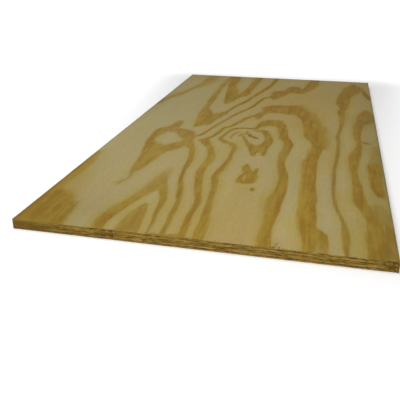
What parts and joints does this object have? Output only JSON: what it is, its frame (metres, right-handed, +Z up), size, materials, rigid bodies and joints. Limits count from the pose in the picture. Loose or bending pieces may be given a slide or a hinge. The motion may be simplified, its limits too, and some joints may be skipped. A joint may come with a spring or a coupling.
{
  "type": "plywood sheet",
  "caption": "Flat rectangular softwood plywood panel, glued from crossed veneers with square sawn edges, for cutting up, decking, shelving and lining.",
  "frame": {"origin": "on the underside, at the middle of the sheet", "axes": "+Z up out of the good face, +Y along the length and the face grain towards the far short edge, +X across the width"},
  "size_m": [0.61, 1.22, 0.018],
  "materials": {
    "face_veneer": "unsanded rotary-cut pine, matt, bold figure along the length",
    "crossband": "sawn pine edge, long grain on the short edges and end grain on the long edges",
    "core_veneer": "sawn pine edge, end grain on the short edges and long grain on the long edges",
    "back_veneer": "unsanded rotary-cut pine, matt, plainer than the face"
  },
  "bodies": {
    "root": {"face_veneer": "face_veneer", "upper_crossband": "crossband", "core_veneer": "core_veneer", "lower_crossband": "crossband", "back_veneer": "back_veneer"}
  },
  "joints": []
}
